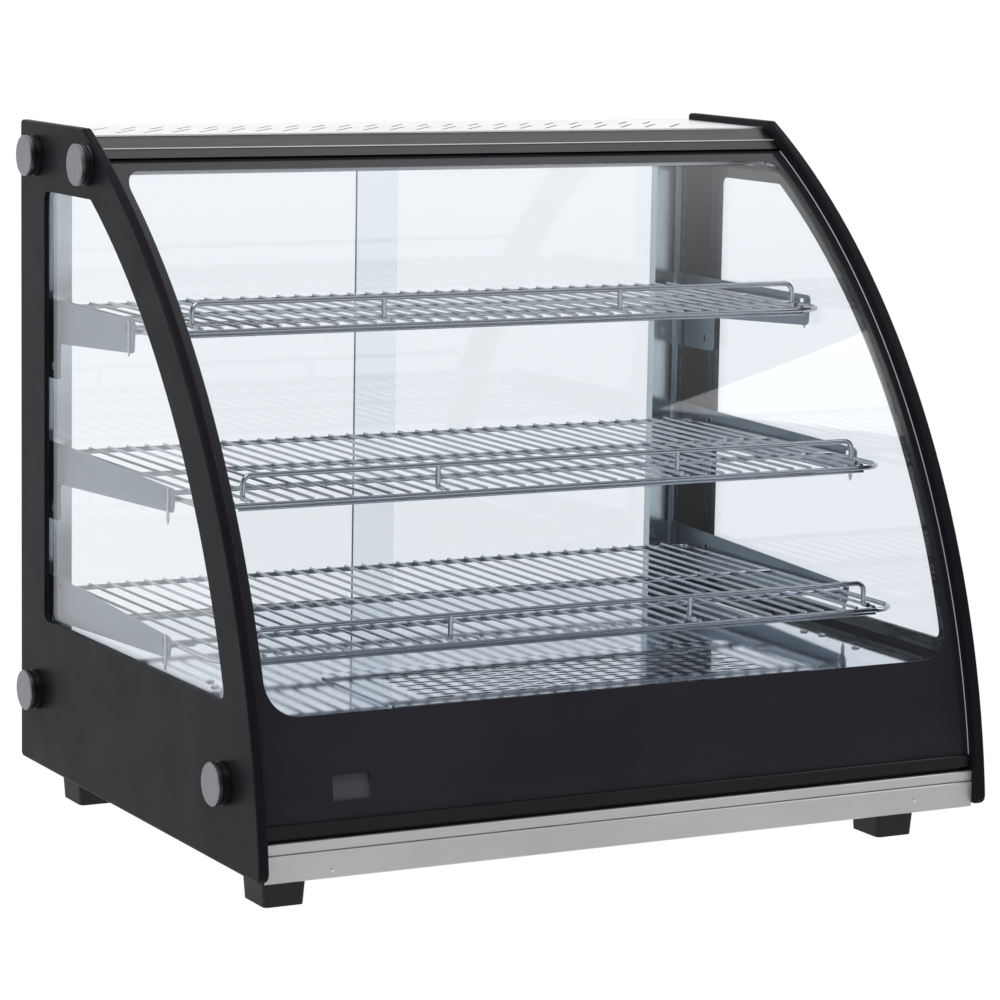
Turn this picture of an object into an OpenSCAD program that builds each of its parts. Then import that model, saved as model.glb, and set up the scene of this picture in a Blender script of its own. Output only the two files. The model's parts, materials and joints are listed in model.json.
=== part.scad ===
// Curved-glass hot food display case: heated base, three lift-out wire shelves,
// sliding rear doors and a lamp above the shelves. Millimetres, +Z up, front at -Y.
// Inside in_case() the origin is the rear lower edge of the side panels, mid width.

/* [Case] */
// Width over the two side panels
case_w = 775; // [700:5:850]
// Height of the side panels
case_h = 640; // [636:1:645]
// Depth of the side panels
case_d = 580; // [576:1:584]
// Height of the rubber feet
foot_h = 25; // [20:1:40]
// Thickness of a side panel
side_t = 10; // [8:1:12]
// Radius of the side panels' curved front edge
side_r = 808; // [806:1:810]
// Set-back of the front glass from the side panels' front edge
glass_set_back = 13; // [12:1:14]

/* [Glass] */
// Thickness of the curved front glass
front_glass_t = 5; // [4:0.5:5]
// Thickness of the side panes
side_glass_t = 5; // [4:0.5:5]
// Thickness of the sliding doors
door_t = 4; // [3:0.5:4]
// Width of one sliding door
door_w = 375.6; // [366:0.2:378]
// How far the left door stands away from its closed stop
door_ajar = 17; // [0:1:20]

/* [Base] */
// Height of the deck's upper face above the underside of the base
deck_z = 133.5; // [130:0.5:136]
// Sheet thickness of the base and the roof
sheet = 1.2; // [0.8:0.1:1.5]
// Width of the perforated cover plate
plate_w = 456; // [440:2:470]
// Depth of the perforated cover plate
plate_d = 165; // [155:1:170]

/* [Shelves] */
// Height of the lowest shelf's frame
shelf_z = 176; // [175:0.5:177]
// Height from the lowest shelf to the middle one
shelf_step_low = 137.5; // [137:0.5:138]
// Height from the middle shelf to the top one
shelf_step_high = 145.2; // [144.8:0.2:145.6]
// Width over a shelf's frame
shelf_w = 736; // [724:1:738]
// Spacing of the shelf wires
wire_pitch = 20; // [18:1:24]
// Diameter of the shelf wires
wire_d = 3; // [2.5:0.5:4]
// Diameter of the shelf frame rod
rod_d = 5; // [4.5:0.5:5]
// Height of the guard rail above the shelf
guard_h = 23.5; // [20:0.5:26]

/* [Fixings] */
// Diameter of the round standoff caps
cap_d = 40; // [36:1:42]
// How far the caps stand off the side panels
cap_reach = 13.5; // [12:0.5:15]

/* [Hidden] */
$fn = 48;
eps = 0.01;

// Front curve: one centre for the side panels' edge and for the front glass.
arc_z = -69.3;
arc_y = sqrt(side_r * side_r - arc_z * arc_z) - case_d;
glass_r = side_r - glass_set_back;
border_t = 0.4;
pane_r = glass_r - border_t;
pane_in_r = pane_r - front_glass_t;
glass_low_z = 38.3;
glass_top_z = 618;

// Sliding-door tracks: three walls, two channels, behind the rear posts.
track_y = 1.6;
track_wall = 1;
track_pitch = 7.2;
track_depth = 2 * track_pitch + track_wall;
rear_reach = track_y + track_depth;

panel_in = case_w / 2 - side_t;
inner_w = panel_in - 0.5;
roof_z = 633;
front_wall_y = -537.3;
service_y = 8.8;

// Side window and the pane behind it.
window_rear_y = -64;
window_low_z = 150;
window_top_z = 574;
window_arc = [212, -54];
window_r = 742;
border_depth = 5;
pane_lap = 11.5;

// Front window in the dark border.
view_half_w = 364;
view_low_z = 140;
view_top_z = 601.5;
view_low_r = 32;
view_top_r = 18;
display_x = -287.5;
display_z = 75.3;
display_w = 38;
display_h = 22.5;

// Standoffs as [y, z]; side is 1 on the right and -1 on the left.
function standoffs(side) =
    [[-42, 607], [side < 0 ? -174.5 : -150, 606.5], [-42, 76], [-500, 76]];
stud_r = 2.5;

// Rear posts, and the shelf brackets that hook into them.
post_front_y = -11;
post_rear_y = 1.3;
slot_x = 371;
slot_low_z = 150;
slot_pitch = 20;
slot_count = 23;
header_z = 600;
ceiling_z = 593;

shelf_rear_y = -31.5;
shelf_zs = [shelf_z, shelf_z + shelf_step_low, shelf_z + shelf_step_low + shelf_step_high];
shelf_fronts = [-448, -418, -300];
guard_set_back = 10;
clip_rear_y = -73;
clip_fronts = [-340, -344, -250];
bracket_t = 1.5;
// One row per shelf, lowest first: rear top, front top, front end, front low,
// waist low and leg low of the bracket's outline; then the two hook heights.
bracket_rows = [
    [195, 180.5, -350, 158.5, 148.5, 137, 150, 170],
    [327, 320.5, -357, 296, 286, 249, 270, 310],
    [467, 466, -262, 433.3, 424.8, 389, 410, 450]];
waist_y = -74;

controller_x = -250;
controller_z = 66;
rocker_xs = [110, 160];
rocker_z = 66;
rocker_tilt = 8;
button_xs = [-277, -264, -251];
button_z = 56;
inlet_x = 270;
inlet_z = 60;

feet_xy = [[-356.5, -542], [291.5, -542], [-356.5, -110], [356.5, -110]];
trim_screws = [[-312, 4], [310, 9]];
panel_screw_zs = [20, 105];
panel_screw_x = inner_w - 12;
deck_screws = [[326, -338], [332, -362], [326, -433], [326, -60]];

steel = [0.70, 0.73, 0.77];
chrome = [0.62, 0.65, 0.68];
black = [0.14, 0.14, 0.15];
gunmetal = [0.35, 0.34, 0.36];
clear = [0.75, 0.85, 0.90, 0.3];

// The case's rear edge lies so that the whole object is centred on y = 0.
function rear_shift() =
    let (front = max([for (p = side_outline(0)) -p[0]]))
    (front + rear_reach) / 2 - rear_reach;

module in_case() translate([0, rear_shift(), foot_h]) children();

// y of the front curve with radius r at height z.
function arc_at(r, z) = arc_y - sqrt(r * r - (z - arc_z) * (z - arc_z));

// Extrudes a (y, z) outline along X between x0 and x1.
module along_x(x0, x1)
    translate([x0, 0, 0]) rotate([90, 0, 90]) linear_extrude(x1 - x0) children();

// Copies children to the other side as well.
module both_sides() {
    children();
    mirror([1, 0, 0]) children();
}

// Places children on the front curve at radius r and height z, -Y outward.
module on_arc(r, z)
    translate([0, arc_y, arc_z])
    rotate([-asin((z - arc_z) / r), 0, 0])
    translate([0, -r, 0])
    children();

// Round corner between three points: the arc's points, or the corner itself.
function unit2(v) = v / norm(v);
function round_corner(a, b, c, r, steps) =
    r <= 0 ? [b] :
    let (u = unit2(a - b), v = unit2(c - b),
        half = acos(u * v) / 2,
        centre = b + unit2(u + v) * r / sin(half),
        first = b + u * r / tan(half) - centre,
        turn = (cross(u, v) < 0 ? 1 : -1) * (180 - 2 * half))
    [for (i = [0 : steps])
        let (t = turn * i / steps)
        centre + [first[0] * cos(t) - first[1] * sin(t), first[0] * sin(t) + first[1] * cos(t)]];

// Outline from [y, z, corner radius] rows.
function outline(rows, steps = 6) =
    let (n = len(rows))
    [for (i = [0 : n - 1])
        each round_corner(
            [rows[(i + n - 1) % n][0], rows[(i + n - 1) % n][1]],
            [rows[i][0], rows[i][1]],
            [rows[(i + 1) % n][0], rows[(i + 1) % n][1]],
            rows[i][2], steps)];

// Points on the curve of radius r about c, strictly between heights z0 and z1.
function front_curve(c, r, z0, z1, steps) =
    let (a0 = asin((z0 - c[1]) / r), a1 = asin((z1 - c[1]) / r))
    [for (i = [1 : steps - 1])
        let (a = a0 + (a1 - a0) * i / steps)
        [c[0] - r * cos(a), c[1] + r * sin(a), 0]];

// Side panel outline, drawn in from the real edge by inset.
function side_outline(inset) =
    let (r = side_r - inset, top = case_h - inset, low = inset)
    outline(concat(
        [[-inset, low, 5 - inset * 0.9]],
        [[-inset, top, 4 - inset]],
        [[arc_at(r, top), top, 8 - inset]],
        front_curve([arc_y, arc_z], r, top, low, 36),
        [[arc_at(r, low), low, 9 - inset]]));

// Side window outline, grown outward by lap.
function window_outline(lap) =
    let (r = window_r + lap, c = window_arc, top = window_top_z + lap, low = window_low_z - lap)
    let (rear = window_rear_y + lap)
    outline(concat(
        [[rear, low, 8]],
        [[rear, top, 8]],
        [[c[0] - sqrt(r * r - pow(top - c[1], 2)), top, 8]],
        front_curve(c, r, top, low, 24),
        [[c[0] - sqrt(r * r - pow(low - c[1], 2)), low, 8]]));

// ---- Base ----

module base_shell() color(steel) in_case() {
    w = inner_w;
    top = deck_z - sheet;
    difference() {
        union() {
            translate([-w, front_wall_y, 0]) cube([2 * w, service_y - front_wall_y, sheet]);
            translate([-w, front_wall_y, 0]) cube([2 * w, sheet, top]);
            both_sides() translate([w - sheet, front_wall_y, 0])
                cube([sheet, service_y - front_wall_y, top]);
            both_sides() translate([w - 25, service_y - sheet, 0]) cube([25, sheet, 120]);
        }
        both_sides() for (p = [standoffs(1)[2], standoffs(1)[3]])
            translate([w - 5, p[0], p[1]]) rotate([0, 90, 0]) cylinder(h = 10, r = stud_r + 0.2);
        both_sides() for (z = panel_screw_zs)
            translate([panel_screw_x, service_y - 5, z]) rotate([-90, 0, 0]) cylinder(h = 10, r = 2.1);
        // Air slots in the floor under the heater.
        for (x = [-120 : 20 : 120])
            translate([x - 2, -470, -1]) cube([4, 60, 5]);
    }
}

deck_seam = 337.5;

module deck_panel() color(steel) in_case()
    difference() {
        translate([-deck_seam + 0.3, front_wall_y, deck_z - sheet])
            cube([2 * deck_seam - 0.6, post_rear_y - front_wall_y, sheet]);
        translate([-plate_w / 2 + 13, plate_y - plate_d / 2 + 13, deck_z - 5])
            cube([plate_w - 26, plate_d - 26, 10]);
        both_sides() for (p = deck_screws)
            translate([p[0], p[1], deck_z - 5]) cylinder(h = 10, r = 2.1);
    }

plate_y = -435.5;

module deck_side_strips() color(steel) in_case() both_sides()
    translate([deck_seam + 0.3, front_wall_y, deck_z - sheet])
        cube([inner_w - deck_seam - 0.3, post_rear_y - front_wall_y, sheet]);

well_depth = 48;

module water_well() color(steel) in_case() {
    w = plate_w - 26;
    d = plate_d - 26;
    low = deck_z - sheet - well_depth;
    translate([0, plate_y, 0]) difference() {
        union() {
            translate([-w / 2 - 1, -d / 2 - 1, low]) cube([w + 2, d + 2, well_depth]);
            translate([-w / 2 - 12, -d / 2 - 12, low + well_depth - 1]) cube([w + 24, d + 24, 1]);
        }
        translate([-w / 2, -d / 2, low + 1]) cube([w, d, well_depth]);
    }
}

plate_lift = 0.3;
plate_t = 1.5;
plate_corner = 14;
slot_len = 30;
slot_gap = 12;
slot_w = 4;
slot_row_pitch = 9.6;
slot_rows = 13;

module plate_slot(x, y)
    translate([x, y, deck_z - 2]) {
        translate([-slot_len / 2 + slot_w / 2, -slot_w / 2, 0])
            cube([slot_len - slot_w, slot_w, 8]);
        for (s = [-1, 1])
            translate([s * (slot_len - slot_w) / 2, 0, 0]) cylinder(h = 8, d = slot_w);
    }

module cover_plate() color(steel) in_case()
    difference() {
        translate([0, plate_y, deck_z + plate_lift]) {
            x = plate_w / 2 - plate_corner;
            y = plate_d / 2 - plate_corner;
            translate([-x, -plate_d / 2, 0]) cube([2 * x, plate_d, plate_t]);
            translate([-plate_w / 2, -y, 0]) cube([plate_w, 2 * y, plate_t]);
            for (sx = [-1, 1], sy = [-1, 1])
                translate([sx * x, sy * y, 0]) cylinder(h = plate_t, r = plate_corner);
        }
        for (row = [0 : slot_rows - 1]) {
            y = plate_y + (row - (slot_rows - 1) / 2) * slot_row_pitch;
            shift = (row % 2) * (slot_len + slot_gap) / 2;
            for (i = [-4 : 4 - row % 2])
                plate_slot(i * (slot_len + slot_gap) + shift, y);
        }
    }

heater_z = 76;
heater_r = 4;
heater_half = 150;
heater_bend = 22;

module heating_element() color(gunmetal) in_case()
    translate([0, plate_y, heater_z]) {
        for (k = [-1.5 : 1 : 1.5])
            translate([-heater_half, k * 2 * heater_bend, 0])
                rotate([0, 90, 0]) cylinder(h = 2 * heater_half, r = heater_r);
        for (k = [-1, 1])
            translate([heater_half, k * 2 * heater_bend, 0]) rotate([0, 0, -90])
                rotate_extrude(angle = 180) translate([heater_bend, 0]) circle(r = heater_r);
        translate([-heater_half, 0, 0]) rotate([0, 0, 90])
            rotate_extrude(angle = 180) translate([heater_bend, 0]) circle(r = heater_r);
    }

module heater_clamps() color(steel) in_case()
    for (x = [-90, 90])
        translate([x - 9, plate_y, 0]) {
            translate([0, -75, heater_z - heater_r - 2.5]) cube([18, 150, 2]);
            for (y = [-77, 75]) translate([0, y, sheet]) cube([18, 2, heater_z - heater_r - 1.7]);
        }

trim_front_y = -569;
trim_top_z = 32;

module front_trim() color([0.78, 0.79, 0.80]) in_case()
    difference() {
        along_x(-inner_w, inner_w) difference() {
            f = trim_front_y;
            polygon([[f + 1, -3], [f, -2], [f, 20.8], [f + 1, 21.8], [f + 3, 21.8],
                [f + 3, 23.2], [f + 1, 23.2], [f + 1, trim_top_z - 0.8],
                [f + 1.8, trim_top_z], [front_wall_y - 0.3, trim_top_z],
                [front_wall_y - 0.3, 0], [f + 2.5, 0], [f + 2.5, -3]]);
            translate([f + 5, 3]) square([25, trim_top_z - 6]);
        }
        for (p = trim_screws) translate([p[0], trim_front_y - 1, p[1]]) rotate([-90, 0, 0])
            cylinder(h = 8, r = 1.4);
    }

module glass_channel() color(black) in_case() along_x(-inner_w, inner_w) {
    z = trim_top_z;
    polygon([[-560, z], [-560, z + 4.5], [-566, z + 4.5], [-566, z + 15], [-565, z + 16],
        [-563.2, z + 16], [-563.2, z + 6], [-555.5, z + 6], [-555.5, z + 16],
        [-553, z + 16], [-553, z]]);
}

module service_panel() color(steel) in_case()
    difference() {
        translate([-inner_w, service_y, 1.5]) cube([2 * inner_w, sheet, 119]);
        // Cut-outs for the controller, the switches and the inlet.
        translate([controller_x - 35.5, 0, controller_z - 14.5]) cube([71, 20, 29]);
        for (x = rocker_xs) translate([x - 10, 0, rocker_z - 13]) cube([20, 20, 26]);
        translate([inlet_x - 14, 0, inlet_z - 10]) cube([28, 20, 20]);
        // Louvre slots.
        for (i = [0 : 11]) translate([-140 + i * 12, 0, 40]) cube([5, 20, 50]);
        both_sides() for (z = panel_screw_zs) translate([panel_screw_x, 0, z])
            rotate([-90, 0, 0]) cylinder(h = 20, r = 2.1);
    }

// Tapered block with rounded corners, wide end up.
module foot_block(w, d, h) hull() {
    for (sx = [-1, 1], sy = [-1, 1]) {
        translate([sx * (w / 2 - 5), sy * (d / 2 - 5), h - 4]) cylinder(h = 4, r = 5, $fn = 32);
        translate([sx * (w / 2 - 6), sy * (d / 2 - 6), 0]) cylinder(h = 2, r = 4.5, $fn = 32);
    }
}

module feet() color([0.08, 0.08, 0.08]) in_case()
    for (p = feet_xy)
        translate([p[0], p[1], -foot_h]) difference() {
            foot_block(42, 48, foot_h);
            translate([0, 0, -1]) cylinder(h = 16, r = 7);
            cylinder(h = foot_h + 1, r = 3.1);
        }

// Countersunk-free pan head with a cross recess, axis +Z, shank below z = 0.
module pan_screw(r, head_h, shank_r, length) difference() {
    union() {
        translate([0, 0, -length]) cylinder(h = length, r = shank_r);
        cylinder(h = head_h * 0.5, r = r);
        translate([0, 0, head_h * 0.5]) cylinder(h = head_h * 0.5, r1 = r, r2 = r * 0.7);
    }
    for (a = [0, 90]) rotate([0, 0, a])
        translate([-r * 0.55, -0.4, head_h * 0.45]) cube([r * 1.1, 0.8, head_h]);
}

module case_screws() color(chrome) in_case() {
    both_sides() {
        for (p = deck_screws) translate([p[0], p[1], deck_z]) pan_screw(4, 1.8, 1.9, 8);
        for (z = panel_screw_zs) translate([panel_screw_x, service_y + sheet, z])
            rotate([-90, 0, 0]) pan_screw(3.6, 1.8, 1.9, 8);
    }
    for (p = trim_screws) translate([p[0], trim_front_y, p[1]]) rotate([90, 0, 0])
        pan_screw(1.8, 0.5, 1.3, 3);
    for (p = feet_xy) translate([p[0], p[1], 15 - foot_h]) rotate([180, 0, 0])
        pan_screw(5.5, 3, 2.9, 10 - eps);
}

// ---- Sides ----

// Panel with round edges: rings of the outline, drawn in towards both faces.
module bullnose_panel(t, edge, steps = 4) {
    rise = [for (k = [0 : steps]) let (a = 90 * k / steps) [edge * (1 - cos(a)), edge * (1 - sin(a))]];
    levels = concat(rise, [for (k = [steps : -1 : 0]) [t - rise[k][0], rise[k][1]]]);
    rings = [for (l = levels) side_outline(l[1])];
    n = len(rings[0]);
    m = len(levels);
    points = [for (i = [0 : m - 1]) for (p = rings[i]) [p[0], p[1], levels[i][0]]];
    walls = [for (i = [0 : m - 2], j = [0 : n - 1])
        let (a = i * n + j, b = i * n + (j + 1) % n)
        each [[a, a + n, b + n], [a, b + n, b]]];
    caps = [[for (j = [0 : n - 1]) j], [for (j = [n - 1 : -1 : 0]) (m - 1) * n + j]];
    polyhedron(points, concat(walls, caps), convexity = 4);
}

edge_r = 2.5;

// Side panel with its rebated window, drawn on the right for either side.
module side_frame(side) color(black) in_case()
    translate([panel_in, 0, 0]) difference() {
        rotate([90, 0, 90]) bullnose_panel(side_t, edge_r);
        along_x(-1, side_t + 1) polygon(window_outline(0));
        along_x(-1, side_t - border_depth) polygon(window_outline(pane_lap + 0.5));
        for (p = standoffs(side)) translate([-1, p[0], p[1]]) rotate([0, 90, 0])
            cylinder(h = side_t + 2, r = stud_r + 0.3);
    }

module side_frame_right() side_frame(1);

module side_frame_left() mirror([1, 0, 0]) side_frame(-1);

module side_glass_right() color(clear) in_case()
    along_x(panel_in + side_t - border_depth - side_glass_t, panel_in + side_t - border_depth)
        polygon(window_outline(pane_lap));

module side_glass_left() mirror([1, 0, 0]) side_glass_right();

// Places children at every standoff, +Z outward from the panel face.
module at_standoffs() for (side = [-1, 1], p = standoffs(side))
    translate([side * case_w / 2, p[0], p[1]]) rotate([0, side * 90, 0]) children();

cap_t = 4;

module standoff_collars() color([0.10, 0.10, 0.11]) in_case() at_standoffs()
    difference() {
        union() {
            cylinder(h = cap_reach - cap_t, d = cap_d - 3);
            translate([0, 0, 1]) cylinder(h = 3, d = cap_d);
            translate([0, 0, 6]) cylinder(h = cap_reach - cap_t - 6, d = cap_d - 0.6);
        }
        translate([0, 0, -1]) cylinder(h = cap_reach + 2, r = stud_r + 0.2);
    }

module standoff_caps() color(gunmetal) in_case() at_standoffs()
    difference() {
        union() {
            translate([0, 0, cap_reach - cap_t]) cylinder(h = cap_t - 1, d = cap_d);
            translate([0, 0, cap_reach - 1]) cylinder(h = 1, d1 = cap_d, d2 = cap_d - 2);
        }
        translate([0, 0, cap_reach - cap_t - 1]) cylinder(h = 3.2, r = stud_r + 0.05);
    }

module standoff_studs() color(chrome) in_case() at_standoffs() {
    inner = -side_t - 0.5 - sheet;
    translate([0, 0, inner - 5]) cylinder(h = 5 - inner + 9 + 2.4, r = stud_r);
    difference() {
        translate([0, 0, inner - 4]) cylinder(h = 4, r = 4.2);
        translate([0, 0, inner - 6]) cylinder(h = 7, r = stud_r);
    }
}

// ---- Front ----

// Ring sector about the front curve's centre, between radii and heights.
module arc_band(r_in, r_out, z0, z1) intersection() {
    translate([arc_y, arc_z]) difference() {
        circle(r = r_out, $fn = 180);
        circle(r = r_in, $fn = 180);
    }
    translate([arc_y - r_out - 10, z0]) square([r_out, z1 - z0]);
}

module front_glass() color(clear) in_case()
    along_x(-inner_w, inner_w) arc_band(pane_in_r, pane_r, glass_low_z, glass_top_z);

// Rectangle with round corners of two radii, in (x, z).
module view_shape(w, z0, z1, r_low, r_top) {
    translate([-w, z0 + r_low]) square([2 * w, z1 - z0 - r_low - r_top]);
    translate([-w + r_low, z0]) square([2 * (w - r_low), r_low + 1]);
    translate([-w + r_top, z1 - r_top - 1]) square([2 * (w - r_top), r_top + 1]);
    for (s = [-1, 1]) {
        translate([s * (w - r_low), z0 + r_low]) circle(r = r_low);
        translate([s * (w - r_top), z1 - r_top]) circle(r = r_top);
    }
}

module front_border() color([0.15, 0.15, 0.16]) in_case()
    difference() {
        along_x(-inner_w, inner_w) arc_band(pane_r, glass_r, glass_low_z + 1, glass_top_z - 5.5);
        rotate([90, 0, 0]) linear_extrude(700)
            view_shape(view_half_w, view_low_z, view_top_z, view_low_r, view_top_r);
        translate([display_x - display_w / 2, -650, display_z - display_h / 2])
            cube([display_w, 300, display_h]);
    }

module display_module() color(gunmetal) in_case()
    on_arc(pane_in_r - 0.3, display_z) {
        translate([display_x - 23, 0, -15]) cube([46, 1.5, 30]);
        translate([display_x - 21, 1.5, -13]) cube([42, 6.5, 26]);
    }

// ---- Top ----

vent_row_1 = -101.5;
vent_row_2 = -53.5;
vent_w = 3;
vent_turn = 51;
vent_pitch = 29.5;
vent_count = 22;

module vent_slot(x, y, length)
    translate([x, y, roof_z - 5]) rotate([0, 0, vent_turn]) {
        translate([-length / 2, -vent_w / 2, 0]) cube([length, vent_w, 10]);
        for (s = [-1, 1]) translate([s * length / 2, 0, 0]) cylinder(h = 10, d = vent_w);
    }

module roof_panel() color([0.85, 0.86, 0.88]) in_case()
    difference() {
        translate([-inner_w, roof_front_y, roof_z - 1.5])
            cube([2 * inner_w, rear_reach - roof_front_y, 1.5]);
        for (i = [0 : vent_count - 1]) {
            vent_slot(-318.5 + i * vent_pitch, vent_row_1, 64);
            vent_slot(-324.5 + i * vent_pitch, vent_row_2, 47);
        }
    }

roof_front_y = -153.5;
bar_r = 798;
bar_low_z = 613;
bar_split_z = 620.5;

module top_bar() color(gunmetal) in_case() along_x(-inner_w, inner_w) difference() {
    polygon([[arc_at(bar_r, bar_low_z), bar_low_z],
        [arc_at(bar_r, bar_split_z), bar_split_z],
        [arc_at(bar_r, bar_split_z), bar_split_z + 1.3],
        [roof_front_y, roof_z - 1.5], [-128, roof_z - 1.5], [-128, roof_z - 4],
        [-148, roof_z - 4], [-164, bar_low_z]]);
    arc_band(pane_in_r - 0.3, glass_r + 0.3, bar_low_z - 5, glass_top_z + 0.4);
}

ceiling_front_y = -160;
lamp_y = -108;
lamp_half = 320;

module ceiling_panel() color(steel) in_case()
    difference() {
        translate([-inner_w + 2, ceiling_front_y, ceiling_z]) {
            cube([2 * inner_w - 4, post_front_y - ceiling_front_y - 0.3, sheet]);
            cube([2 * inner_w - 4, sheet, 18]);
        }
        translate([-lamp_half, lamp_y - 17, ceiling_z - 5]) cube([2 * lamp_half, 34, 10]);
    }

module lamp_diffuser() color([0.95, 0.95, 0.92]) in_case()
    translate([-lamp_half - 4, lamp_y - 21, ceiling_z + sheet]) cube([2 * lamp_half + 8, 42, 2]);

module lamp_tube() color([0.97, 0.97, 0.95]) in_case()
    translate([-lamp_half + 12, lamp_y, ceiling_z + 18]) rotate([0, 90, 0])
        cylinder(h = 2 * lamp_half - 24, r = 8);

module lamp_holders() color([0.9, 0.9, 0.9]) in_case() both_sides()
    translate([lamp_half - 12, lamp_y - 11, ceiling_z + sheet + 2]) cube([12, 22, 27]);

rail_low_z = 591.8;

// Rail along the top of the right side panel; side picks whose standoffs it takes.
module top_rail(side) {
    w = inner_w + 0.3;
    top = roof_z - 1.5;
    difference() {
        along_x(w - sheet, w) intersection() {
            translate([-200, rail_low_z]) square([200 + post_front_y, top - rail_low_z]);
            union() {
                translate([arc_y, arc_z]) circle(r = pane_in_r - 0.4, $fn = 180);
                translate([-100, rail_low_z]) square([120, 100]);
            }
        }
        translate([0, -210, bar_low_z - 0.2]) cube([w + 1, 83, 30]);
        for (p = [standoffs(side)[0], standoffs(side)[1]]) translate([w - 5, p[0], p[1]])
            rotate([0, 90, 0]) cylinder(h = 10, r = stud_r + 0.2);
    }
    translate([w - 16, -127, top - sheet]) cube([16 - sheet, 127 + post_front_y, sheet]);
    translate([w - 16, ceiling_front_y, rail_low_z])
        cube([16 - sheet, post_front_y - ceiling_front_y, sheet]);
}

module top_rails() color(steel) in_case() {
    top_rail(1);
    mirror([1, 0, 0]) top_rail(-1);
}

// ---- Rear ----

track_half = inner_w - sheet;

// Three thin walls that make the two door channels.
module channel_walls(z0, z1) for (i = [0 : 2])
    translate([-track_half, track_y + i * track_pitch, z0])
        cube([2 * track_half, track_wall, z1 - z0]);

module rear_header() color(steel) in_case() {
    top = roof_z - 1.5;
    along_x(-panel_in + 1, panel_in - 1) difference() {
        translate([post_front_y, header_z]) square([rear_reach - post_front_y, top - header_z]);
        translate([post_front_y + 1.5, header_z + 1.5])
            square([rear_reach - post_front_y - 3, top - header_z - 3]);
    }
    channel_walls(header_z - 12, header_z);
}

track_low_z = 121;
door_stop = 363;

module door_track() color(steel) in_case() {
    channel_walls(track_low_z, deck_z);
    translate([-track_half, track_y, track_low_z])
        cube([2 * track_half, track_depth, 2]);
    both_sides() translate([door_stop, track_y, track_low_z])
        cube([track_half - door_stop, track_depth, deck_z - track_low_z]);
}

module post_right() color(chrome) in_case()
    difference() {
        translate([0, 0, deck_z]) linear_extrude(header_z - deck_z) difference() {
            f = post_front_y;
            polygon([[334, post_rear_y], [334, f], [354, f], [364, f + 4], [364, f],
                [368, f], [368, f + 5], [376.3, f + 5], [376.3, post_rear_y]]);
            polygon([[335.5, post_rear_y - 1.5], [335.5, f + 1.5], [353.4, f + 1.5],
                [361, f + 6.2], [374.8, f + 6.2], [374.8, post_rear_y - 1.5]]);
        }
        for (i = [0 : slot_count - 1])
            translate([slot_x - 1.6, post_front_y + 3, slot_low_z + i * slot_pitch - 6])
                cube([3.2, 4, 12]);
    }

module post_left() mirror([1, 0, 0]) post_right();

door_low_z = 126;
door_top_z = 597;
door_ys = [track_y + track_wall + 3.1, track_y + track_wall + 3.1 + track_pitch];
left_door_x = -door_stop + 1 + door_ajar;
right_door_x = door_stop - 1 - door_w;

module door_pane(x, y) color(clear) in_case()
    translate([x, y - door_t / 2, door_low_z]) cube([door_w, door_t, door_top_z - door_low_z]);

module door_left() door_pane(left_door_x, door_ys[0]);

module door_right() door_pane(right_door_x, door_ys[1]);

// Slim edge pull: a channel over the door's outer edge with a finger lip behind.
module edge_pull(y) {
    inner = door_t / 2;
    translate([0, y, 140]) linear_extrude(444) {
        translate([-1, -inner - 1]) square([1, 2 * inner + 2]);
        translate([-1, -inner - 1]) square([11, 1]);
        translate([-1, inner]) square([11, 1]);
        translate([7, inner + 1]) square([3, 1]);
    }
}

module pull_left() color(gunmetal) in_case()
    translate([left_door_x, 0, 0]) edge_pull(door_ys[0]);

module pull_right() color(gunmetal) in_case()
    translate([right_door_x + door_w, 0, 0]) mirror([1, 0, 0]) edge_pull(door_ys[1]);

// Nylon glide under a door, wrapped round its lower edge.
module shoe(x, y) translate([x - 20, y, 0]) difference() {
    translate([0, -2.8, track_low_z + 2.3]) cube([40, 5.6, 8]);
    translate([-1, -door_t / 2, door_low_z]) cube([42, door_t, 20]);
}

module shoes(x, y) color([0.9, 0.9, 0.88]) in_case()
    for (s = [60, door_w - 60]) shoe(x + s, y);

module shoes_left() shoes(left_door_x, door_ys[0]);

module shoes_right() shoes(right_door_x, door_ys[1]);

// ---- Shelves ----

frame_r = rod_d / 2;
frame_x = shelf_w / 2 - frame_r;
corner_r = 27;
rear_corner_r = 12;
rear_rod_y = -frame_r;
cross_rods = [0.43, 0.74];
wire_rise = 0.7;
wire_shift = -3.7;
under_d = 3;
guard_d = 5;
guard_x = 330;
guard_post_x = 130;
guard_corner = 8;

// Moves children to shelf i, whose own origin is the rear edge of its upper face.
module at_shelf(i)
    translate([0, shelf_rear_y, shelf_zs[i]]) children();

module rod_x(x0, x1, y, z, d)
    translate([x0, y, z]) rotate([0, 90, 0]) cylinder(h = x1 - x0, d = d);

module rod_y(x, y0, y1, z, d)
    translate([x, y0, z]) rotate([-90, 0, 0]) cylinder(h = y1 - y0, d = d);

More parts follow.
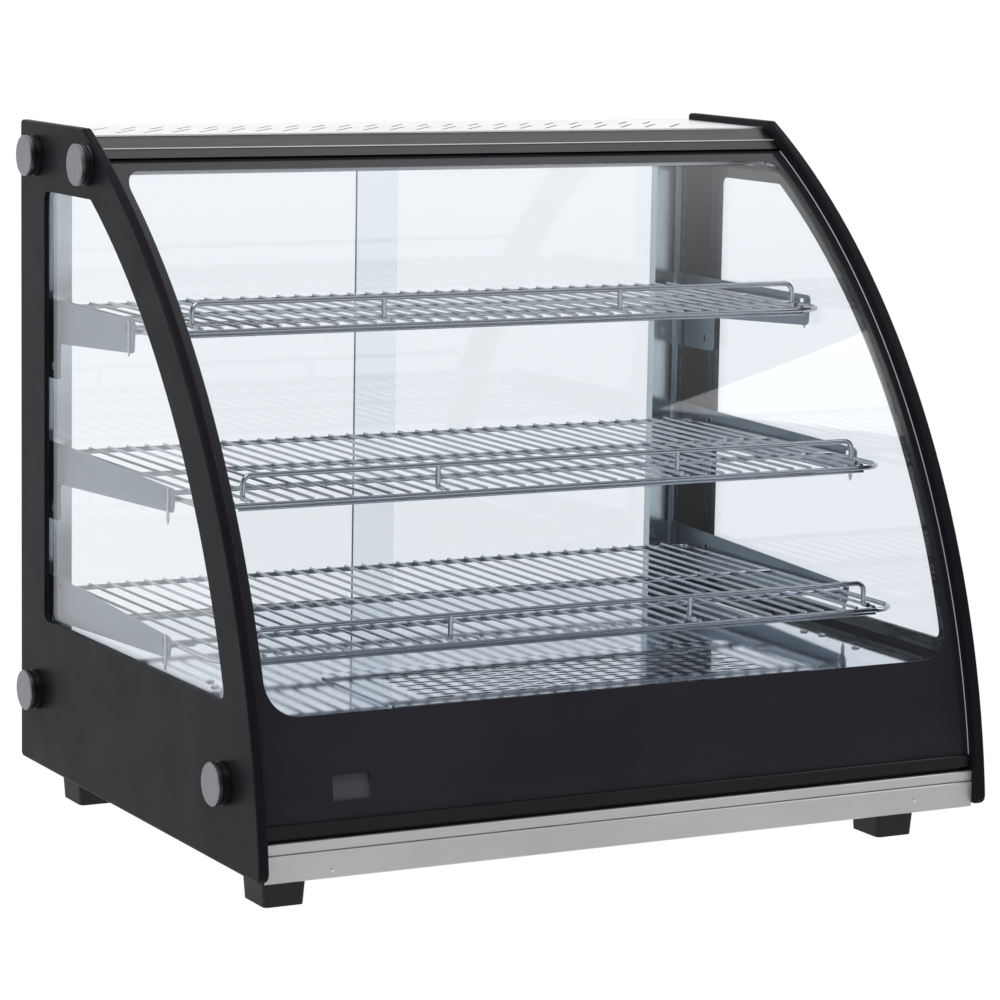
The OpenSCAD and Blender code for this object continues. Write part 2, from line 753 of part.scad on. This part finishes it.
// Wire shelf whose front rod lies at y = front from the rear edge.
module wire_shelf(front) {
    z = -frame_r;
    rod_x(-frame_x + corner_r, frame_x - corner_r, front, z, rod_d);
    rod_x(-frame_x + rear_corner_r, frame_x - rear_corner_r, rear_rod_y, z, rod_d);
    both_sides() {
        rod_y(frame_x, front + corner_r, rear_rod_y - rear_corner_r, z, rod_d);
        translate([frame_x - corner_r, front + corner_r, z]) rotate([0, 0, -90])
            rotate_extrude(angle = 90) translate([corner_r, 0]) circle(d = rod_d);
        translate([frame_x - rear_corner_r, rear_rod_y - rear_corner_r, z])
            rotate_extrude(angle = 90) translate([rear_corner_r, 0]) circle(d = rod_d);
    }
    // A thinner rod under the front one, then the cross rods under the wires.
    rod_x(-frame_x + corner_r, frame_x - corner_r, front + 0.4, -rod_d - under_d / 2 + 0.5, under_d);
    for (f = cross_rods)
        rod_x(-frame_x, frame_x, rear_rod_y + (front - rear_rod_y) * f, z, rod_d);
    count = floor((frame_x - 20) / wire_pitch);
    for (i = [-count : count])
        rod_y(i * wire_pitch + wire_shift, front - 0.5, rear_rod_y, wire_rise, wire_d);
}

// Guard rail: round-cornered rail, end legs and two posts, feet bent to the front rod.
module guard(front) {
    y = front + guard_set_back;
    top = guard_h;
    rod_x(-guard_x + guard_corner, guard_x - guard_corner, y, top, guard_d);
    both_sides() {
        translate([guard_x - guard_corner, y, top - guard_corner]) rotate([90, 0, 0])
            rotate_extrude(angle = 90) translate([guard_corner, 0]) circle(d = guard_d);
        for (x = [guard_x, guard_post_x]) {
            low = wire_rise + guard_d / 2 - 0.6;
            high = x == guard_x ? top - guard_corner : top;
            translate([x, y, low]) cylinder(h = high - low, d = guard_d);
            translate([x, y, low]) sphere(d = guard_d);
            rod_y(x, front + 1, y, low, guard_d);
        }
    }
}

module shelf_bottom() color(chrome) in_case() at_shelf(0) wire_shelf(shelf_fronts[0] - shelf_rear_y);

module shelf_middle() color(chrome) in_case() at_shelf(1) wire_shelf(shelf_fronts[1] - shelf_rear_y);

module shelf_top() color(chrome) in_case() at_shelf(2) wire_shelf(shelf_fronts[2] - shelf_rear_y);

module guard_bottom() color(chrome) in_case() at_shelf(0) guard(shelf_fronts[0] - shelf_rear_y);

module guard_middle() color(chrome) in_case() at_shelf(1) guard(shelf_fronts[1] - shelf_rear_y);

module guard_top() color(chrome) in_case() at_shelf(2) guard(shelf_fronts[2] - shelf_rear_y);

// Height of the top of a clip's arm, just under the shelf's side rod.
function clip_z(i) = shelf_zs[i] - rod_d - 0.35;

// Bracket plate: hooks behind the post, leg, waist and tapered arm.
module bracket(i) {
    b = bracket_rows[i];
    along_x(slot_x - bracket_t / 2, slot_x + bracket_t / 2) difference() {
        union() {
            polygon(outline([[-6.3, b[0], 0], [b[2], b[1], 5], [b[2] + 3, b[3] + 2, 6],
                [waist_y, b[4], 4], [waist_y, b[5], 6], [-6.3, b[5], 0]]));
            for (z = [b[6], b[7]]) {
                translate([-7, z - 2]) square([4.5, 7]);
                translate([-4.3, z - 8]) square([1.8, 8]);
            }
        }
        for (y = [clip_rear_y, clip_fronts[i]]) {
            translate([y - 2.8, clip_z(i) - 1.5]) square([11, 10]);
            translate([y + 5, clip_z(i) - 7.5]) circle(d = 3.4);
        }
        translate([waist_y + 16, b[5] + 8]) square([5, 8]);
    }
}

module bracket_bottom_right() color(chrome) in_case() bracket(0);

module bracket_middle_right() color(chrome) in_case() bracket(1);

module bracket_top_right() color(chrome) in_case() bracket(2);

module bracket_bottom_left() mirror([1, 0, 0]) bracket_bottom_right();

module bracket_middle_left() mirror([1, 0, 0]) bracket_middle_right();

module bracket_top_left() mirror([1, 0, 0]) bracket_top_right();

clip_w = 5;
clip_t = 1.2;
clip_reach = 29;

// Spring-steel clip: pointed leaf outside the bracket, arm inward through its window.
module shelf_clip(y, z) {
    face = slot_x + bracket_t / 2;
    h = clip_w / 2;
    along_x(face, face + clip_t) polygon([[y - h, z + 12], [y + h, z + 12],
        [y + h, z - 18], [y, z - 22], [y - h, z - 18]]);
    translate([face - clip_reach, y - h, z - clip_t]) cube([clip_reach, clip_w, clip_t]);
}

module shelf_clips() color(steel) in_case() both_sides()
    for (i = [0 : 2], y = [clip_rear_y, clip_fronts[i]]) shelf_clip(y, clip_z(i));

// ---- Controls ----

panel_face = service_y + sheet;
bezel_t = 2.5;

module button_cap(x) color([0.8, 0.8, 0.8]) in_case()
    translate([x, 0, button_z]) {
        translate([-4, panel_face + bezel_t - 3, -2.2]) cube([8, 4.2, 4.4]);
        translate([-5, panel_face + bezel_t - 3, -3]) cube([10, 1.2, 6]);
    }

module controller() color([0.12, 0.12, 0.13]) in_case()
    difference() {
        translate([controller_x, 0, controller_z]) {
            translate([-38.5, panel_face, -17.5]) cube([77, bezel_t, 35]);
            translate([-35.2, -45, -14.2]) cube([70.4, 45 + panel_face, 28.4]);
        }
        // Display recess.
        translate([controller_x - 20, panel_face + bezel_t - 0.8, controller_z - 5])
            cube([40, 5, 18]);
        // Button pockets, wider behind the face than at it.
        for (x = button_xs) translate([x, 0, button_z]) {
            translate([-4.4, panel_face + bezel_t - 5, -2.6]) cube([8.8, 10, 5.2]);
            translate([-5.4, panel_face + bezel_t - 5, -3.4]) cube([10.8, 3.6, 6.8]);
        }
    }

module button_set() button_cap(button_xs[0]);

module button_up() button_cap(button_xs[1]);

module button_down() button_cap(button_xs[2]);

rocker_pivot_y = 9.5;

// Rocker cap: shallow V face on a pin, tilted to its off position.
module rocker(x) color([0.1, 0.1, 0.1]) in_case()
    translate([x, rocker_pivot_y, rocker_z]) rotate([rocker_tilt, 0, 0]) {
        along_x(-6.5, 6.5) polygon([[-3, -6], [-1, -9], [5.5, -9], [4.3, 0], [5.5, 9],
            [-1, 9], [-3, 6]]);
        rod_x(-8, 8, 0, 0, 3);
    }

module power_rocker() rocker(rocker_xs[0]);

module lamp_rocker() rocker(rocker_xs[1]);

module switch_bezels() color([0.16, 0.16, 0.17]) in_case()
    for (x = rocker_xs) translate([x, 0, rocker_z]) difference() {
        union() {
            translate([-11.5, panel_face, -14.5]) cube([23, bezel_t, 29]);
            translate([-9.7, -16, -12.7]) cube([19.4, 16 + panel_face, 25.4]);
        }
        translate([-7, rocker_pivot_y - 6, -10.5]) cube([14, 20, 21]);
        rod_x(-8.5, 8.5, rocker_pivot_y, 0, 3.1);
    }

module power_inlet() color([0.09, 0.09, 0.1]) in_case()
    translate([inlet_x, 0, inlet_z]) {
        difference() {
            union() {
                translate([-25, panel_face, -11.5]) cube([50, bezel_t, 23]);
                translate([-13.7, -14, -9.7]) cube([27.4, 14 + panel_face, 19.4]);
            }
            translate([0, panel_face + bezel_t + 1, 0]) rotate([90, 0, 0]) linear_extrude(19)
                polygon([[-12, -8], [12, -8], [12, 4], [8, 8], [-8, 8], [-12, 4]]);
            for (s = [-20, 20]) translate([s, 0, 0]) rotate([-90, 0, 0]) cylinder(h = 20, r = 1.7);
        }
        for (p = [[0, 3], [-7, -2], [7, -2]])
            translate([p[0] - 1, -7, p[1] - 2]) cube([2, 14, 4]);
    }

base_shell();
deck_panel();
deck_side_strips();
water_well();
cover_plate();
heating_element();
heater_clamps();
front_trim();
glass_channel();
service_panel();
feet();
case_screws();
side_frame_left();
side_frame_right();
side_glass_left();
side_glass_right();
standoff_collars();
standoff_caps();
standoff_studs();
front_glass();
front_border();
display_module();
roof_panel();
top_bar();
ceiling_panel();
lamp_tube();
lamp_diffuser();
lamp_holders();
top_rails();
rear_header();
door_track();
post_left();
post_right();
door_left();
door_right();
pull_left();
pull_right();
shoes_left();
shoes_right();
shelf_top();
shelf_middle();
shelf_bottom();
guard_top();
guard_middle();
guard_bottom();
bracket_top_left();
bracket_top_right();
bracket_middle_left();
bracket_middle_right();
bracket_bottom_left();
bracket_bottom_right();
shelf_clips();
controller();
button_set();
button_up();
button_down();
power_rocker();
lamp_rocker();
switch_bezels();
power_inlet();
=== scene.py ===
"""Hot food display case: looks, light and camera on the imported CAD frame. Metres, +Z up, front at -Y."""

import json
import math

import bmesh
import bpy
from mathutils import Matrix, Vector


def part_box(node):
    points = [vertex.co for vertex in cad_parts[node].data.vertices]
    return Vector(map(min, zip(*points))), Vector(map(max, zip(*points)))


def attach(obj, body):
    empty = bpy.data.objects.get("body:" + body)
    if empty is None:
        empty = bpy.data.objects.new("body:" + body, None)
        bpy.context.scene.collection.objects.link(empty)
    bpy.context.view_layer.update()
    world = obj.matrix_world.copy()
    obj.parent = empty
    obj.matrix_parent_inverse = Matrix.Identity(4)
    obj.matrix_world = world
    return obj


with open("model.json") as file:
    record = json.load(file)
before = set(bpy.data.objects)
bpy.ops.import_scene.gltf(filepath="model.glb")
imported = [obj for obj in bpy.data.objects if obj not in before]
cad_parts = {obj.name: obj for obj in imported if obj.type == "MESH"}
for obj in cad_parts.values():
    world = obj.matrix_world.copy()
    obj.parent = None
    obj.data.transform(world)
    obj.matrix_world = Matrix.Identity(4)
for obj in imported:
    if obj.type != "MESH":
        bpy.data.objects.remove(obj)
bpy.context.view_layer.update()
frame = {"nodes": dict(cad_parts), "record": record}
nodes = frame["nodes"]


# ---- Camera, floor and light ----

CAMERA_AT = Vector((-1.7572, -3.2844, 0.870))
CAMERA_YAW = 0.4925  # radians, to the right of +Y
CAMERA_PITCH = 0.1508  # radians, downwards
CAMERA_ROLL = 0.0178  # radians, about the line of sight
CAMERA_LENS = 138.09  # millimetres on a 36 mm sensor
SENSOR_WIDTH = 36
CAMERA_REACH = 50

DIM_SKY = (0.13, 0.135, 0.15, 1)
BRIGHT_SKY = (1, 1, 1, 1)
DIM_UP_TO = 0.10  # share of the way from the viewer's side to the far side
BRIGHT_FROM = 0.60
SKY_STRENGTH = 1.04

FLOOR_HALF = 12
LAMPS_AIM = Vector((0, 0, 0.3))


def link(thing):
    """Puts a new object into the scene."""
    bpy.context.scene.collection.objects.link(thing)


def make_camera():
    """Camera turned to the right by the yaw, down by the pitch and rolled about its line of sight."""
    level_ahead = Vector((math.sin(CAMERA_YAW), math.cos(CAMERA_YAW), 0))
    ahead = level_ahead * math.cos(CAMERA_PITCH) - Vector((0, 0, math.sin(CAMERA_PITCH)))
    right = Vector((math.cos(CAMERA_YAW), -math.sin(CAMERA_YAW), 0))
    up = right.cross(ahead)
    right_rolled = math.cos(CAMERA_ROLL) * right + math.sin(CAMERA_ROLL) * up
    up_rolled = math.cos(CAMERA_ROLL) * up - math.sin(CAMERA_ROLL) * right
    turn = Matrix((right_rolled, up_rolled, -ahead)).transposed()
    data = bpy.data.cameras.new("camera")
    data.lens = CAMERA_LENS
    data.sensor_width = SENSOR_WIDTH
    data.clip_end = CAMERA_REACH
    camera = bpy.data.objects.new("camera", data)
    camera.matrix_world = Matrix.Translation(CAMERA_AT) @ turn.to_4x4()
    link(camera)
    bpy.context.scene.camera = camera


def area_light(name, place, size, power):
    """Soft rectangular lamp at place, aimed at the middle of the case."""
    data = bpy.data.lights.new(name, "AREA")
    data.shape = "RECTANGLE"
    data.size, data.size_y = size
    data.energy = power
    lamp = bpy.data.objects.new(name, data)
    lamp.location = place
    lamp.rotation_euler = (LAMPS_AIM - Vector(place)).to_track_quat("-Z", "Y").to_euler()
    link(lamp)


def make_world():
    """Pale studio: white behind the object, dimmer on the viewer's side."""
    world = bpy.data.worlds.new("studio")
    bpy.context.scene.world = world
    world.use_nodes = True
    tree = world.node_tree
    tree.nodes.clear()
    coordinates = tree.nodes.new("ShaderNodeTexCoord")
    split = tree.nodes.new("ShaderNodeSeparateXYZ")
    depth = tree.nodes.new("ShaderNodeMapRange")
    ramp = tree.nodes.new("ShaderNodeValToRGB")
    background = tree.nodes.new("ShaderNodeBackground")
    output = tree.nodes.new("ShaderNodeOutputWorld")
    depth.inputs["From Min"].default_value = -1
    depth.inputs["From Max"].default_value = 1
    near, far = ramp.color_ramp.elements
    near.position, near.color = DIM_UP_TO, DIM_SKY
    far.position, far.color = BRIGHT_FROM, BRIGHT_SKY
    background.inputs["Strength"].default_value = SKY_STRENGTH
    tree.links.new(coordinates.outputs["Generated"], split.inputs["Vector"])
    tree.links.new(split.outputs["Y"], depth.inputs["Value"])
    tree.links.new(depth.outputs["Result"], ramp.inputs["Fac"])
    tree.links.new(ramp.outputs["Color"], background.inputs["Color"])
    tree.links.new(background.outputs["Background"], output.inputs["Surface"])


def make_floor(material):
    """Wide pale floor under the feet."""
    corners = [(-1, -1), (1, -1), (1, 1), (-1, 1)]
    mesh = bpy.data.meshes.new("floor")
    mesh.from_pydata([(x * FLOOR_HALF, y * FLOOR_HALF, 0) for x, y in corners], [], [range(len(corners))])
    mesh.materials.append(material)
    floor = bpy.data.objects.new("floor", mesh)
    link(floor)


# ---- Materials ----

NOISE_LOW = 0.3  # noise seldom leaves the band between these two
NOISE_HIGH = 0.7
EVEN = (1, 1, 1)

materials = {}


class Paint:
    """Builds one node material round a Principled shader and keeps it in materials under its name."""

    def __init__(self, name, color, roughness, metallic=0.0, **sockets):
        material = bpy.data.materials.new(name)
        material.use_nodes = True
        materials[name] = material
        self.tree = material.node_tree
        self.shader = self.tree.nodes["Principled BSDF"]
        self.output = self.tree.nodes["Material Output"]
        self.color = color
        self.roughness = roughness
        self.set(Base_Color=(*color, 1), Roughness=roughness, Metallic=metallic, **sockets)

    def set(self, **sockets):
        """Sets sockets of the shader, with _ for a space in a socket's name."""
        for socket, value in sockets.items():
            self.shader.inputs[socket.replace("_", " ")].default_value = value

    def add(self, kind, **sockets):
        """New shader node with its sockets set."""
        node = self.tree.nodes.new("ShaderNode" + kind)
        for socket, value in sockets.items():
            node.inputs[socket.replace("_", " ")].default_value = value
        return node

    def link(self, source, target):
        self.tree.links.new(source, target)

    def noise(self, scale, detail, stretch=EVEN, rough=0.55):
        """Noise over the object's own coordinates, in metres, drawn out where stretch is small."""
        coordinates = self.add("TexCoord")
        mapping = self.add("Mapping", Scale=stretch)
        noise = self.add("TexNoise", Scale=scale, Detail=detail, Roughness=rough)
        self.link(coordinates.outputs["Object"], mapping.inputs["Vector"])
        self.link(mapping.outputs["Vector"], noise.inputs["Vector"])
        return noise.outputs["Fac"]

    def spread(self, value, low, high):
        """Maps noise to the range from low to high."""
        node = self.add("MapRange", From_Min=NOISE_LOW, From_Max=NOISE_HIGH, To_Min=low, To_Max=high)
        self.link(value, node.inputs["Value"])
        return node.outputs["Result"]

    def vary_roughness(self, value, amount):
        """Moves the roughness up and down by amount."""
        rough = self.spread(value, self.roughness - amount, self.roughness + amount)
        self.link(rough, self.shader.inputs["Roughness"])

    def vary_color(self, value, share):
        """Moves the colour darker and lighter by share of itself."""
        mix = self.tree.nodes.new("ShaderNodeMix")
        mix.data_type = "RGBA"
        mix.inputs["A"].default_value = (*[c * (1 - share) for c in self.color], 1)
        mix.inputs["B"].default_value = (*[min(1, c * (1 + share)) for c in self.color], 1)
        self.link(self.spread(value, 0, 1), mix.inputs["Factor"])
        self.link(mix.outputs["Result"], self.shader.inputs["Base Color"])

    def bump(self, value, strength, distance):
        """Raises the surface by up to distance where value is high."""
        node = self.add("Bump", Strength=strength, Distance=distance)
        self.link(value, node.inputs["Height"])
        self.link(node.outputs["Normal"], self.shader.inputs["Normal"])


def brushed(name, color, roughness, stretch, grain=0.06, scale=220, metallic=1.0):
    """Metal with fine brush lines along the axis whose stretch is small."""
    paint = Paint(name, color, roughness, metallic)
    lines = paint.noise(scale, detail=3, stretch=stretch, rough=0.7)
    paint.vary_roughness(lines, grain)
    paint.vary_color(paint.noise(scale=9, detail=3), share=0.05)
    paint.bump(lines, strength=0.12, distance=0.0002)


def bright_metal(name, color, roughness, grain=0.03, waviness=0.04):
    """Plated or rolled metal with faint smudges and a trace of waviness."""
    paint = Paint(name, color, roughness, metallic=1.0)
    paint.vary_roughness(paint.noise(scale=14, detail=5), grain)
    paint.vary_color(paint.noise(scale=25, detail=3), share=0.04)
    paint.bump(paint.noise(scale=60, detail=2), waviness, distance=0.0003)


def moulded(name, color, roughness, texture_scale, depth, variation=0.15, gloss=0.5):
    """Plastic, paint, rubber or print with a fine surface texture."""
    paint = Paint(name, color, roughness, Specular_IOR_Level=gloss)
    paint.vary_roughness(paint.noise(scale=18, detail=4), amount=0.05)
    paint.vary_color(paint.noise(scale=6, detail=3), variation)
    paint.bump(paint.noise(texture_scale, detail=2), strength=0.25, distance=depth)


def glass(name, tint):
    """Clear sheet glass that casts only a faint shadow, half as strong as its tint."""
    paint = Paint(name, tint, roughness=0.0, Transmission_Weight=1.0, IOR=1.45)
    path = paint.add("LightPath")
    shadow = paint.add("BsdfTransparent", Color=(*[(1 + c) / 2 for c in tint], 1))
    mix = paint.add("MixShader")
    clear_socket, shadow_socket = mix.inputs[1], mix.inputs[2]
    paint.link(path.outputs["Is Shadow Ray"], mix.inputs["Fac"])
    paint.link(paint.shader.outputs["BSDF"], clear_socket)
    paint.link(shadow.outputs["BSDF"], shadow_socket)
    paint.link(mix.outputs["Shader"], paint.output.inputs["Surface"])


def studio_floor(name):
    """Floor that is nearly all its own even glow, so that only faint contact shadows show."""
    glow = {"Emission_Color": (1, 1, 1, 1), "Emission_Strength": 0.975}
    paint = Paint(name, color=(0.04, 0.04, 0.04), roughness=0.8, Specular_IOR_Level=0.1, **glow)
    paint.vary_color(paint.noise(scale=3, detail=2), share=0.01)
    paint.bump(paint.noise(scale=40, detail=3), strength=0.05, distance=0.0005)


ALONG_X = (0.03, 1, 1)
FINE_ALONG_X = (0.02, 1, 1)
ALONG_Z = (1, 1, 0.03)
SHORT_ALONG_Z = (1, 1, 0.1)


def make_materials():
    """One material for each slot of the record, three more for single pieces, and the floor's."""
    brushed("sheet_steel", (0.60, 0.61, 0.63), 0.30, ALONG_X)
    brushed("roof_steel", (0.84, 0.85, 0.87), 0.34, ALONG_X)
    brushed("post_steel", (0.43, 0.49, 0.53), 0.16, ALONG_Z, grain=0.04)
    brushed("cap_metal", (0.195, 0.188, 0.21), 0.34, SHORT_ALONG_Z, grain=0.05, scale=300)
    brushed("gunmetal_bar", (0.067, 0.063, 0.068), 0.32, FINE_ALONG_X, grain=0.05, scale=400)
    brushed("trim_aluminium", (0.47, 0.47, 0.48), 0.42, FINE_ALONG_X, grain=0.05, scale=400, metallic=0.6)
    # Near-white lip colour: a painted highlight for the bright line along the top bar's step.
    brushed("lip_highlight", (0.86, 0.85, 0.86), 0.30, FINE_ALONG_X, grain=0.04, scale=400, metallic=0.5)

    bright_metal("polished_steel", (0.71, 0.755, 0.825), 0.06, grain=0.02, waviness=0.02)
    bright_metal("bracket_steel", (0.178, 0.228, 0.272), 0.42, waviness=0.01)
    bright_metal("chrome_wire", (0.40, 0.43, 0.47), 0.12, waviness=0.02)
    bright_metal("spring_steel", (0.40, 0.42, 0.46), 0.35)
    bright_metal("screw_steel", (0.62, 0.63, 0.65), 0.22)
    bright_metal("heater_steel", (0.38, 0.34, 0.31), 0.45)

    moulded("black_frame", (0.0088, 0.0092, 0.0118), 0.38, 1400, 0.00003, gloss=0.04)
    moulded("black_print", (0.0178, 0.017, 0.0215), 0.16, 300, 0.00001, gloss=0.35)
    moulded("black_plastic", (0.006, 0.006, 0.008), 0.28, 1800, 0.00005, gloss=0.15)
    moulded("black_rubber", (0.008, 0.008, 0.008), 0.62, 900, 0.0002, gloss=0.3)
    moulded("collar_black", (0.006, 0.006, 0.007), 0.30, 900, 0.00003, gloss=0.4)
    moulded("rocker_black", (0.012, 0.012, 0.012), 0.22, 900, 0.00003)
    moulded("grey_key", (0.42, 0.43, 0.45), 0.50, 1500, 0.0001)
    moulded("white_nylon", (0.80, 0.80, 0.76), 0.45, 900, 0.0001, variation=0.04)
    moulded("lamp_white", (0.85, 0.85, 0.82), 0.30, 500, 0.00005, variation=0.03)
    moulded("lamp_diffuser", (0.88, 0.88, 0.84), 0.50, 500, 0.00005, variation=0.03)
    moulded("display_face", (0.075, 0.075, 0.084), 0.30, 900, 0.00002, variation=0.04)
    # Light grey of the edge beads: a painted highlight for the bright line along the front glass's edges.
    moulded("bead_highlight_grey", (0.36, 0.37, 0.40), 0.25, 300, 0.00002, variation=0.05)

    glass("clear_glass", (0.902, 0.928, 0.947))
    studio_floor("floor")


OWN_FINISH = {"display_module": "display_face"}


def dress_nodes():
    """Gives every CAD node the material of its slot, or a finish of its own."""
    slots = {part["node"]: part["material_slot"] for part in frame["record"]["subparts"]}
    for name, node in nodes.items():
        node.data.materials.clear()
        node.data.materials.append(materials[OWN_FINISH.get(name, slots[name])])


# ---- Added pieces ----

TOUCH = 0.00002  # how far an added piece stays off the surface that it sits on

CURVE_CENTRE = (0.50602, -0.0443)  # Y and Z of the axis that the front glass is bent about
GLASS_RADIUS = 0.795  # to the glass's outer face
BEAD_SIZE = 0.0007
BEAD_GAP = 0.0004  # from the edge of the border to the side panel
BEAD_END = 0.002  # left bare at each end of the glass
BEAD_TURNS = 6
BEAD_STEPS = 72

LIP_RISE = 0.0075  # from the top bar's lower edge to the step between its two faces
LIP_HEIGHT = 0.0012
LIP_DEPTH = 0.0004
LIP_END = 0.0005
LIP_TURNS = 8
SAME_HEIGHT = 0.0002


def swept(name, rings, material):
    """Closed solid with its skin stretched over rings of points, riding on the case."""
    build = bmesh.new()
    loops = [[build.verts.new(point) for point in ring] for ring in rings]
    for near, far in zip(loops, loops[1:]):
        for i in range(len(near)):
            after = (i + 1) % len(near)
            build.faces.new((near[i], near[after], far[after], far[i]))
    build.faces.new(loops[0])
    build.faces.new(list(reversed(loops[-1])))
    bmesh.ops.recalc_face_normals(build, faces=build.faces)
    mesh = bpy.data.meshes.new(name)
    build.to_mesh(mesh)
    build.free()
    mesh.materials.append(materials[material])
    piece = bpy.data.objects.new(name, mesh)
    link(piece)
    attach(piece, "case")


def on_curve(x, radius, angle):
    """Point on a circle about the front glass's axis, at an angle up from level."""
    y, z = CURVE_CENTRE
    return (x, y - radius * math.cos(angle), z + radius * math.sin(angle))


def highlight_bead(name, side):
    """Concave light grey bead in the corner between the front glass and the side panel on that side; its
    light grey is a painted highlight for the bright line along the glass's edge.
    """
    low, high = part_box("front_border")
    start = math.asin((low[2] + BEAD_END - CURVE_CENTRE[1]) / GLASS_RADIUS)
    end = math.asin((high[2] - BEAD_END - CURVE_CENTRE[1]) / GLASS_RADIUS)
    panel_x = side * (high[0] + BEAD_GAP)
    turns = [math.pi / 2 * i / BEAD_TURNS for i in range(BEAD_TURNS + 1)]
    hollow = [(BEAD_SIZE * (1 - math.sin(a)), BEAD_SIZE * (1 - math.cos(a)) + TOUCH) for a in turns]
    profile = [(0, TOUCH), *hollow]  # inward from the panel, outward from the glass
    angles = [start + (end - start) * i / BEAD_STEPS for i in range(BEAD_STEPS + 1)]
    rings = [
        [on_curve(panel_x - side * inward, GLASS_RADIUS + outward, angle) for inward, outward in profile]
        for angle in angles
    ]
    swept(name, rings, "bead_highlight_grey")


def bar_lip(name):
    """Bright half-round lip on the step between the two faces of the top bar; its near-white colour is a
    painted highlight for the bright line along the step, and its rounded top also catches real light from
    above.
    """
    low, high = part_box("top_bar")
    step_z = low[2] + LIP_RISE
    corners = [vertex.co for vertex in nodes["top_bar"].data.vertices]
    step_y = min(co.y for co in corners if abs(co.z - step_z) < SAME_HEIGHT) - TOUCH
    turns = [math.pi * i / LIP_TURNS for i in range(LIP_TURNS + 1)]
    half_round = [
        (step_y - LIP_DEPTH * math.sin(turn), step_z + LIP_HEIGHT / 2 * (1 - math.cos(turn)))
        for turn in turns
    ]
    ends = (low[0] + LIP_END, high[0] - LIP_END)
    swept(name, [[(x, y, z) for y, z in half_round] for x in ends], "lip_highlight")


bpy.context.scene.view_settings.view_transform = "Standard"
make_camera()
make_world()
area_light("key_light", place=(-1.5, -1.0, 3.2), size=(2.5, 2.0), power=60)
area_light("fill_light", place=(2.5, -1.0, 2.0), size=(1.5, 2.0), power=20)
make_materials()
make_floor(materials["floor"])
dress_nodes()
# Lip whose near-white is a painted highlight along the top bar's step.
bar_lip("top_bar_lip")
# Edge beads whose light grey is a painted highlight along the front glass's edges.
highlight_bead("edge_bead_right", side=1)
highlight_bead("edge_bead_left", side=-1)
